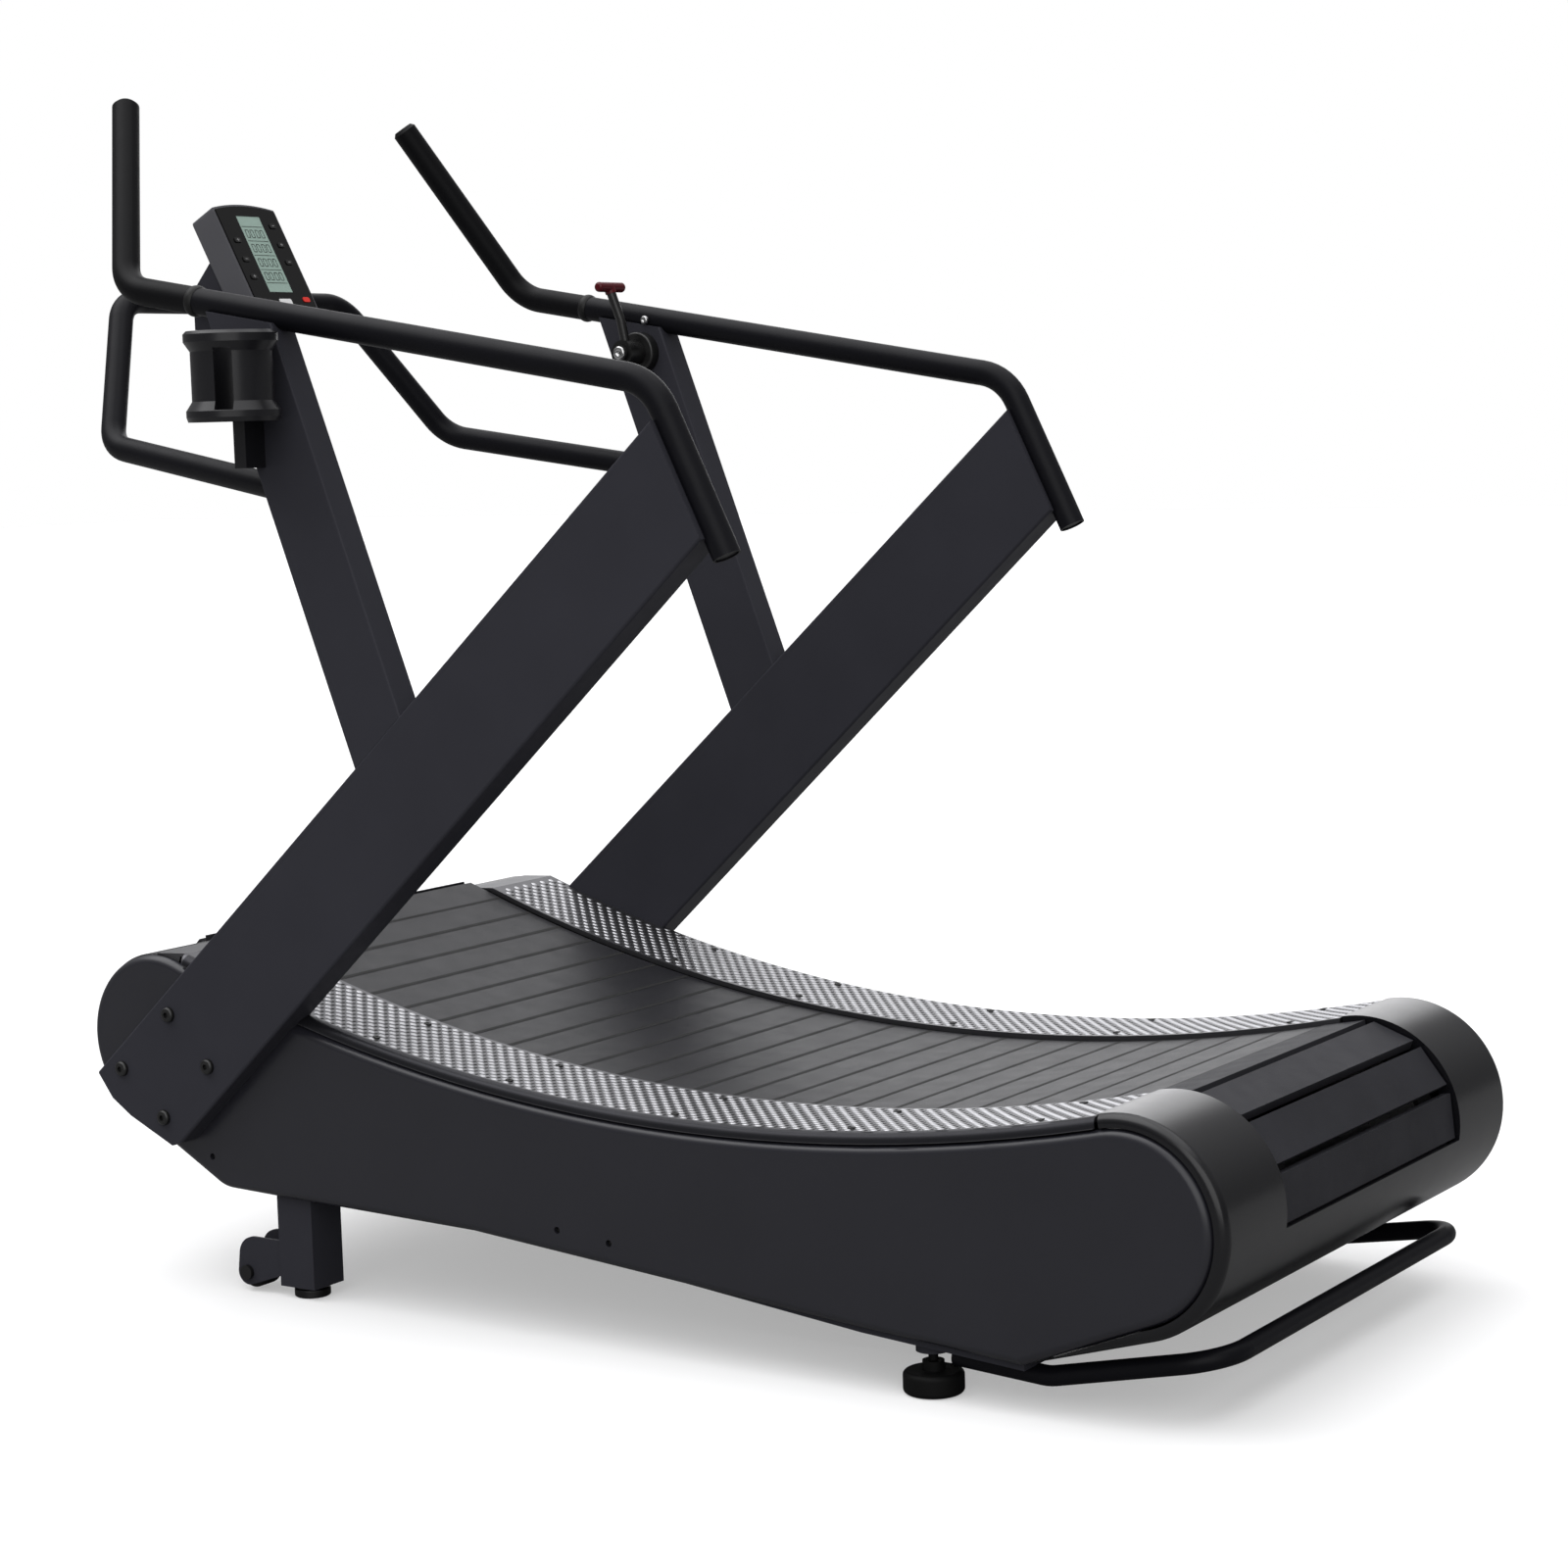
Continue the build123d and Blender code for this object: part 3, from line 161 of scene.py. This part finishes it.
GREY_CASE = material("grey_case", grey(84, 4), 0.42, grain=0.12, grain_scale=1100, spec=0.3)
CHROME = material("hub_chrome", grey(190), 0.14, metal=1.0)
WHITE = material("label_white", grey(225), 0.5)
RAIL_LIP = material("rail_lip", grey(40, 4), 0.34, metal=0.6, spec=0.4)
# painted shade: the handrail, loop and tail tubes get a darker copy of the frame paint, to
# cancel the light the round tubes catch
TUBE_SHADED = material("tube_paint_shaded", grey(17, 4), 0.42, grain=0.05, grain_scale=1400, spec=0.11)
# painted light: the slats of the rear wrap get a lighter copy of the slat rubber, to make up
# for the light they face away from
REAR_SLAT_LIT = material(
    "rear_slat_lit", grey(42, 4), 0.58, grain=0.4, grain_scale=900, cell=True, spread=0.3,
    spec=0.14,
)
MARK = material("button_mark", grey(150), 0.5)
LAMP = material("lamp_red", (srgb(220), srgb(50), srgb(40)), 0.3)
DARK = material("deep_black", grey(6), 0.7)

slots = {p["node"]: p["material_slot"] for p in frame["record"]["subparts"]}
for node, obj in frame["nodes"].items():
    obj.data.materials.clear()
    mat = MATS[slots[node]]
    if node == "console_shell":
        mat = GREY_CASE
    # painted shade: the tubes take the darker copy of the frame paint
    elif node.startswith("handrail") or node in ("loop_bar", "tail_bar"):
        mat = TUBE_SHADED
    # painted light: the rear wrap slats take the lighter copy of the slat rubber
    elif node == "slats_rear_wrap":
        mat = REAR_SLAT_LIT
    obj.data.materials.append(mat)


# ---- small builders -----------------------------------------------------------------------
def from_bmesh(name, bm, mat, body, smooth=True):
    """Turn a bmesh in row coordinates into an object that rides on a body."""
    mesh = bpy.data.meshes.new(name)
    bm.normal_update()
    bm.to_mesh(mesh)
    bm.free()
    for p in mesh.polygons:
        p.use_smooth = smooth
    mesh.materials.append(mat)
    obj = bpy.data.objects.new(name, mesh)
    bpy.context.scene.collection.objects.link(obj)
    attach(obj, body)
    return obj


def lathe(bm, profile, place, steps=24):
    """Revolve (radius, height) points about the local Z of a placement matrix."""
    rings = []
    for r, h in profile:
        if r < 1e-6:
            rings.append([bm.verts.new(place @ Vector((0, 0, h)))])
            continue
        ring = []
        for i in range(steps):
            a = 2 * pi * i / steps
            ring.append(bm.verts.new(place @ Vector((r * cos(a), r * sin(a), h))))
        rings.append(ring)
    for a, b in zip(rings, rings[1:]):
        for i in range(steps):
            j = (i + 1) % steps
            if len(a) == 1 and len(b) == 1:
                continue
            if len(a) == 1:
                bm.faces.new((a[0], b[j], b[i]))
            elif len(b) == 1:
                bm.faces.new((a[i], a[j], b[0]))
            else:
                bm.faces.new((a[i], a[j], b[j], b[i]))


def facing(origin, normal, up=(0, 0, 1)):
    """Placement matrix whose Z is the normal."""
    z = Vector(normal).normalized()
    x = Vector(up).cross(z)
    if x.length < 1e-4:
        x = Vector((1, 0, 0))
    x.normalize()
    y = z.cross(x)
    m = Matrix((x, y, z)).transposed().to_4x4()
    m.translation = Vector(origin)
    return m


def slab(bm, place, w, h, t, r=0.0, steps=5):
    """Rounded rectangle of size w x h and thickness t on a placement matrix."""
    pts = []
    if r <= 0:
        pts = [(-w / 2, -h / 2), (w / 2, -h / 2), (w / 2, h / 2), (-w / 2, h / 2)]
    else:
        for cx, cy, a0 in ((1, -1, -90), (1, 1, 0), (-1, 1, 90), (-1, -1, 180)):
            for k in range(steps + 1):
                a = radians(a0 + 90 * k / steps)
                pts.append((cx * (w / 2 - r) + r * cos(a), cy * (h / 2 - r) + r * sin(a)))
    low_ring = [bm.verts.new(place @ Vector((x, y, 0))) for x, y in pts]
    top_ring = [bm.verts.new(place @ Vector((x, y, t))) for x, y in pts]
    bm.faces.new(list(reversed(low_ring)))
    bm.faces.new(top_ring)
    n = len(pts)
    for i in range(n):
        j = (i + 1) % n
        bm.faces.new((low_ring[i], low_ring[j], top_ring[j], top_ring[i]))


# ---- foot rail tread ----------------------------------------------------------------------
def arc_place(x, y, off):
    """Placement on the curved surface at x, with Z away from the floor."""
    r = ARC_R - off
    z = ARC[1] - sqrt(r * r - (x - ARC[0]) ** 2)
    n = Vector((ARC[0] - x, 0, ARC[1] - z)).normalized()
    along = Vector((n.z, 0, -n.x))
    m = Matrix((along, Vector((0, 1, 0)), n)).transposed().to_4x4()
    m.translation = Vector((x, y, z))
    return m


def dome(bm, place, half_x, half_y, height):
    """Low oval bump on a placement matrix."""
    rings = []
    for scale, lift in ((1.0, -0.0002), (0.80, 0.6 * height), (0.45, height)):
        ring = []
        for i in range(10):
            a = 2 * pi * i / 10
            spot = Vector((half_x * scale * cos(a), half_y * scale * sin(a), lift))
            ring.append(bm.verts.new(place @ spot))
        rings.append(ring)
    for p, q in zip(rings, rings[1:]):
        for i in range(10):
            j = (i + 1) % 10
            bm.faces.new((p[i], p[j], q[j], q[i]))
    bm.faces.new(rings[-1])


def inside_post(x, z):
    """True where the main post covers the foot rail."""
    a = (-0.169, 1.159)
    b = (0.631, 0.443)
    c = (-0.251, 1.029)
    d = (0.639, 0.215)
    up = (b[0] - a[0]) * (z - a[1]) - (b[1] - a[1]) * (x - a[0])
    low_side = (d[0] - c[0]) * (z - c[1]) - (d[1] - c[1]) * (x - c[0])
    return up < 0.008 and low_side > -0.008


TREAD_ROWS, ROW_FIRST, ROW_STEP = 13, 0.2745, 0.0108
TREAD_START, TREAD_END, STUD_STEP = -0.732, 0.652, 0.0185
# shift along the rail of the painted shade laid beside each stud
STUD_SHADE_SHIFT = -0.0086
POST_IN = 0.396

for side, name in SIDES:
    bm = bmesh.new()
    stud_shade_bm = bmesh.new()
    for row in range(TREAD_ROWS):
        y = side * (ROW_FIRST + row * ROW_STEP)
        x = TREAD_START + (STUD_STEP / 2 if row % 2 else 0.0)
        while x < TREAD_END:
            place = arc_place(x, y + YS, RAIL_OFF)
            spot = place.translation
            if not (abs(y) > POST_IN and inside_post(spot.x, spot.z)):
                dome(bm, place, 0.0056, 0.0037, 0.0012)
                # painted shade: a flat deep black oval beside each stud stands in for the
                # stud's shadow
                shade_place = place @ Matrix.Translation(Vector((STUD_SHADE_SHIFT, 0.0, 0.0)))
                dome(stud_shade_bm, shade_place, 0.0024, 0.0040, 0.0005)
            x += STUD_STEP
    from_bmesh(f"tread_studs_{name}", bm, STUD_HIGHLIGHT, "frame")
    from_bmesh(f"tread_stud_shade_{name}", stud_shade_bm, DARK, "frame")

    bm = bmesh.new()
    for x in (-0.66, -0.40, -0.14, 0.12, 0.34):
        for y in (0.289, 0.395):
            place = arc_place(x, side * y + YS, RAIL_OFF)
            profile = [
                (0.0, 0.0012),
                (0.0022, 0.0012),
                (0.0024, 0.0022),
                (0.0052, 0.0018),
                (0.0056, -0.0004),
            ]
            lathe(bm, profile, place, 18)
    from_bmesh(f"rail_screws_{name}", bm, MATS["black_plastic"], "frame")

    bm = bmesh.new()
    for x, z in ((0.616, 0.188), (0.029, 0.150), (-0.052, 0.142)):
        place = facing((x, side * 0.4190 + YS, z), (0, side, 0))
        profile = [
            (0.0, 0.0006),
            (0.0018, 0.0006),
            (0.0019, 0.0016),
            (0.0040, 0.0012),
            (0.0042, -0.001),
        ]
        lathe(bm, profile, place, 20)
    from_bmesh(f"cover_screws_{name}", bm, DARK, "frame")

    # ridge where the grip meets the painted tube
    bm = bmesh.new()
    aim = Vector((0.854, 0, 0.1472)).normalized()
    seam = Vector((0.562, side * 0.4305 + YS, 1.34065))
    place = facing(seam - aim * 0.0045, aim)
    profile = [
        (0.0184, -0.002),
        (0.0200, 0.0),
        (0.0208, 0.003),
        (0.0208, 0.006),
        (0.0200, 0.009),
        (0.0182, 0.011),
    ]
    lathe(bm, profile, place, 40)
    from_bmesh(f"seam_ring_{name}", bm, MATS["black_plastic"], "frame")


# painted shade: thin deep black strips over the gaps between the slats of the running surface
# stand in for the shadow inside the gaps
bm = bmesh.new()
angle = FIRST_JOINT
while angle < LAST_JOINT:
    x = ARC[0] + (ARC_R - SLAT_OFF) * cos(angle)
    place = arc_place(x, YS, SLAT_OFF + 0.00002)
    slab(bm, place, 0.0072, 0.5156, 0.0001)
    angle += JOINT_STEP
from_bmesh("slat_gap_shade", bm, DARK, "frame", smooth=False)


# ---- console details ----------------------------------------------------------------------
TILT = radians(28)
UP = Vector((sin(TILT), 0, cos(TILT)))
OUT = Vector((-cos(TILT), 0, sin(TILT)))
FACE = Matrix((Vector((0, -1, 0)), UP, OUT)).transposed().to_4x4()
FACE.translation = Vector((0.825, YS, 1.419))


def on_face(u, v, w):
    return FACE @ Matrix.Translation(Vector((u, v, w)))


bm = bmesh.new()
LCD_FACE = 0.0016
for v in (0.052, 0.028, 0.004, -0.02, -0.042):
    slab(bm, on_face(0.0, v, LCD_FACE), 0.044, 0.0007, 0.00015)
FIGURE = "abcdef"


def digit(bm, u, v, size, on):
    """Seven-bar figure drawn with thin slabs."""
    w, h, t = size * 0.5, size, size * 0.09
    bars = {
        "a": (0, h / 2, w, t),
        "g": (0, 0, w, t),
        "d": (0, -h / 2, w, t),
        "f": (-w / 2, h / 4, t, h / 2),
        "b": (w / 2, h / 4, t, h / 2),
        "e": (-w / 2, -h / 4, t, h / 2),
        "c": (w / 2, -h / 4, t, h / 2),
    }
    for key in on:
        x, y, bw, bh = bars[key]
        slab(bm, on_face(u + x, v + y, LCD_FACE), bw * 0.86, bh * 0.86, 0.00015)


for v in (0.040, 0.016, -0.008, -0.031):
    for u in (-0.0155, -0.0055, 0.0055, 0.0155):
        digit(bm, u, v, 0.0125, FIGURE)
from_bmesh("lcd_segments", bm, MATS["button_plastic"], "frame", smooth=False)

bm = bmesh.new()
slab(bm, on_face(0.0, -0.0745, 0.0021), 0.026, 0.011, 0.0003, 0.002)
from_bmesh("face_label", bm, WHITE, "frame", smooth=False)
bm = bmesh.new()
slab(bm, on_face(0.046, -0.070, 0.0021), 0.014, 0.008, 0.0012, 0.003)
from_bmesh("face_lamp", bm, LAMP, "frame", smooth=False)

BUTTONS = ((-45, 28), (-45, -4), (-45, -33), (45, 54), (45, 22), (45, -7))
for i, (u, v) in enumerate(BUTTONS):
    bm = bmesh.new()
    place = on_face(u / 1000, v / 1000, 0.00365)
    slab(bm, place, 0.0052, 0.0009, 0.0002, 0.0004)
    if i % 2 == 0:
        slab(bm, place, 0.0009, 0.0048, 0.0002, 0.0004)
    from_bmesh(f"button_mark_{i + 1}", bm, MARK, f"button_{i + 1}", smooth=False)


# ---- lever details ------------------------------------------------------------------------
bm = bmesh.new()
place = facing((0.440, -0.4095 + YS, 1.318), (0, 1, 0))
profile = [
    (0.0, 0.004),
    (0.0022, 0.004),
    (0.0026, 0.0062),
    (0.0052, 0.0058),
    (0.0062, 0.004),
    (0.0062, 0.0),
]
lathe(bm, profile, place, 24)
from_bmesh("stop_screw", bm, CHROME, "frame")
bm = bmesh.new()
place = facing((0.448, -0.3502 + YS, 1.269), (0, 1, 0))
profile = [
    (0.0, 0.0012),
    (0.0030, 0.0012),
    (0.0034, 0.003),
    (0.0088, 0.0026),
    (0.0102, 0.001),
    (0.0104, 0.0),
]
lathe(bm, profile, place, 32)
from_bmesh("hub_cap", bm, CHROME, "frame")


# ---- smooth skins over the long rounded edges ---------------------------------------------
# how far the sheets stand proud of the CAD
SKIN = 0.00008


def arc_path(start, stop, off, count):
    """Points and outward directions along the curved surface between two x values."""
    path = []
    for i in range(count + 1):
        place = arc_place(start + (stop - start) * i / count, 0.0, off)
        path.append((place.translation.x, place.translation.z, place[0][2], place[2][2]))
    return path


def round_path(axis, radius, start, stop, count):
    """Points and outward directions around a drum axis between two angles."""
    path = []
    for i in range(count + 1):
        a = start + (stop - start) * i / count
        path.append((axis[0] + radius * cos(a), axis[1] + radius * sin(a), cos(a), sin(a)))
    return path


def edge_skin(bm, path, side, outer, radius):
    """Thin smooth sheet over an edge rounded between a curved top and a flat side."""
    profile = [(-0.0015, -SKIN / 2)]
    for k in range(11):
        a = radians(9 * k)
        profile.append(((radius + SKIN) * sin(a), (radius + SKIN) * cos(a) - radius))
    profile.append((radius - SKIN / 2, -radius - 0.0015))
    rows = []
    for x, z, nx, nz in path:
        row = []
        for dy, lift in profile:
            y = side * (outer - radius + dy) + YS
            row.append(bm.verts.new((x + nx * lift, y, z + nz * lift)))
        rows.append(row)
    for a, b in zip(rows, rows[1:]):
        for k in range(len(profile) - 1):
            quad = (a[k], b[k], b[k + 1], a[k + 1])
            bm.faces.new(quad if side > 0 else quad[::-1])


REAR_UP = atan2(ARC[1] - REAR_AXIS[1], ARC[0] - REAR_AXIS[0])
FRONT_UP = atan2(ARC[1] - FRONT_AXIS[1], ARC[0] - FRONT_AXIS[0])
cover_path = round_path(REAR_AXIS, COVER_R, radians(236), REAR_UP, 60)
cover_path += arc_path(
    REAR_AXIS[0] + COVER_R * cos(REAR_UP),
    FRONT_AXIS[0] + COVER_R * cos(FRONT_UP),
    COVER_OFF,
    160,
)[1:]
cover_path += round_path(FRONT_AXIS, COVER_R, FRONT_UP, radians(-30), 40)[1:]
for side, name in SIDES:
    bm = bmesh.new()
    edge_skin(bm, cover_path, side, COVER_OUT, 0.0115)
    from_bmesh(f"cover_edge_{name}", bm, MATS["cover_shell"], "frame")
    bm = bmesh.new()
    edge_skin(bm, arc_path(-0.7415, 0.655, RAIL_OFF, 160), side, RAIL_OUT, 0.012)
    from_bmesh(f"rail_edge_{name}", bm, RAIL_LIP, "frame")


# ---- soft edges on plain CAD solids -------------------------------------------------------
for node in (
    "slats_top_front",
    "slats_top_rear",
    "slats_front_wrap",
    "slats_rear_wrap",
    "slats_return",
    "console_bracket",
):
    bevel = frame["nodes"][node].modifiers.new("soft", "BEVEL")
    bevel.width = 0.0012
    bevel.segments = 2
    bevel.limit_method = "ANGLE"
    bevel.angle_limit = radians(40)


# ---- floor, light and camera --------------------------------------------------------------
bm = bmesh.new()
bmesh.ops.create_grid(bm, x_segments=1, y_segments=1, size=30.0)
mesh = bpy.data.meshes.new("floor")
bm.to_mesh(mesh)
bm.free()
floor = bpy.data.objects.new("floor", mesh)
bpy.context.scene.collection.objects.link(floor)
pale = bpy.data.materials.new("floor_pale")
pale.use_nodes = True
tree = pale.node_tree
shader = tree.nodes["Principled BSDF"]
shader.inputs["Base Color"].default_value = (0.24, 0.24, 0.24, 1)
shader.inputs["Roughness"].default_value = 0.9
shader.inputs["Specular IOR Level"].default_value = 0.0
bright = tree.nodes.new("ShaderNodeBsdfDiffuse")
bright.inputs["Color"].default_value = (0.62, 0.62, 0.62, 1)
glow = tree.nodes.new("ShaderNodeEmission")
glow.inputs["Strength"].default_value = 0.38
both = tree.nodes.new("ShaderNodeAddShader")
seen = tree.nodes.new("ShaderNodeLightPath")
pick = tree.nodes.new("ShaderNodeMixShader")
link(tree, bright.outputs["BSDF"], both.inputs[0])
link(tree, glow.outputs["Emission"], both.inputs[1])
link(tree, seen.outputs["Is Camera Ray"], pick.inputs["Fac"])
link(tree, shader.outputs["BSDF"], pick.inputs[1])
link(tree, both.outputs["Shader"], pick.inputs[2])
link(tree, pick.outputs["Shader"], tree.nodes["Material Output"].inputs["Surface"])
mesh.materials.append(pale)
floor.location = (0, 0, -0.0003)

world = bpy.data.worlds.new("studio")
bpy.context.scene.world = world
world.use_nodes = True
tree = world.node_tree
back = tree.nodes["Background"]
sky = tree.nodes.new("ShaderNodeTexCoord")


def glow_toward(direction, start, end, gain):
    """Brightness that rises from zero to gain as a ray turns toward a direction."""
    dot = tree.nodes.new("ShaderNodeVectorMath")
    dot.operation = "DOT_PRODUCT"
    dot.inputs[1].default_value = Vector(direction).normalized()
    link(tree, sky.outputs["Generated"], dot.inputs[0])
    rise = tree.nodes.new("ShaderNodeMapRange")
    rise.interpolation_type = "SMOOTHSTEP"
    rise.inputs["From Min"].default_value = start
    rise.inputs["From Max"].default_value = end
    rise.inputs["To Max"].default_value = gain
    link(tree, dot.outputs["Value"], rise.inputs["Value"])
    return rise.outputs["Result"]


def total(a, b):
    """Sum of two brightness values."""
    add = tree.nodes.new("ShaderNodeMath")
    link(tree, a, add.inputs[0])
    if isinstance(b, float):
        add.inputs[1].default_value = b
    else:
        link(tree, b, add.inputs[1])
    return add.outputs["Value"]


AMBIENT = 0.16
softbox = glow_toward((0.15, 0.05, 1.0), 0.62, 0.84, 1.6)
rear_panel = glow_toward((0.42, -0.87, 0.26), 0.925, 0.985, 1.6)
overhead = glow_toward((0.0, 0.0, 1.0), 0.0, 0.7, 0.30)
link(tree, total(total(total(softbox, rear_panel), overhead), AMBIENT), back.inputs["Strength"])
back.inputs["Color"].default_value = (0.985, 0.985, 1.0, 1)
white = tree.nodes.new("ShaderNodeBackground")
white.inputs["Color"].default_value = (1, 1, 1, 1)
seen = tree.nodes.new("ShaderNodeLightPath")
blend = tree.nodes.new("ShaderNodeMixShader")
link(tree, seen.outputs["Is Camera Ray"], blend.inputs["Fac"])
link(tree, back.outputs["Background"], blend.inputs[1])
link(tree, white.outputs["Background"], blend.inputs[2])
link(tree, blend.outputs["Shader"], tree.nodes["World Output"].inputs["Surface"])
bpy.context.scene.view_settings.view_transform = "Standard"


def sun(name, toward, spread, power):
    """Wide soft sun shining along a direction."""
    light = bpy.data.lights.new(name, "SUN")
    light.angle = radians(spread)
    light.energy = power
    obj = bpy.data.objects.new(name, light)
    bpy.context.scene.collection.objects.link(obj)
    obj.rotation_euler = Vector(toward).to_track_quat("-Z", "Y").to_euler()


sun("key", (-0.45, -0.25, -1.0), 50, 0.6)
sun("fill", (0.55, -0.80, -0.30), 60, 1.2)

# camera direction, roll, focal length in frame widths, picture shift and position
AZ, EL, ROLL = radians(213.336), radians(7.030), radians(-1.658)
bk = Vector((sin(AZ) * cos(EL), -cos(AZ) * cos(EL), sin(EL)))
right = Vector((cos(AZ), sin(AZ), 0))
top = bk.cross(right)
r2 = right * cos(ROLL) + top * sin(ROLL)
u2 = -right * sin(ROLL) + top * cos(ROLL)
cam = bpy.data.cameras.new("camera")
cam.sensor_width = 36
cam.lens = 3418 / 1600 * 36
cam.shift_x = -10.3 / 1600
cam.shift_y = 46.4 / 1600
cam.clip_end = 100
eye = bpy.data.objects.new("camera", cam)
bpy.context.scene.collection.objects.link(eye)
pose = Matrix((r2, u2, bk)).transposed().to_4x4()
pose.translation = Vector((-2.5243, 3.7313 + YS, 1.1682))
eye.matrix_world = pose
bpy.context.scene.camera = eye
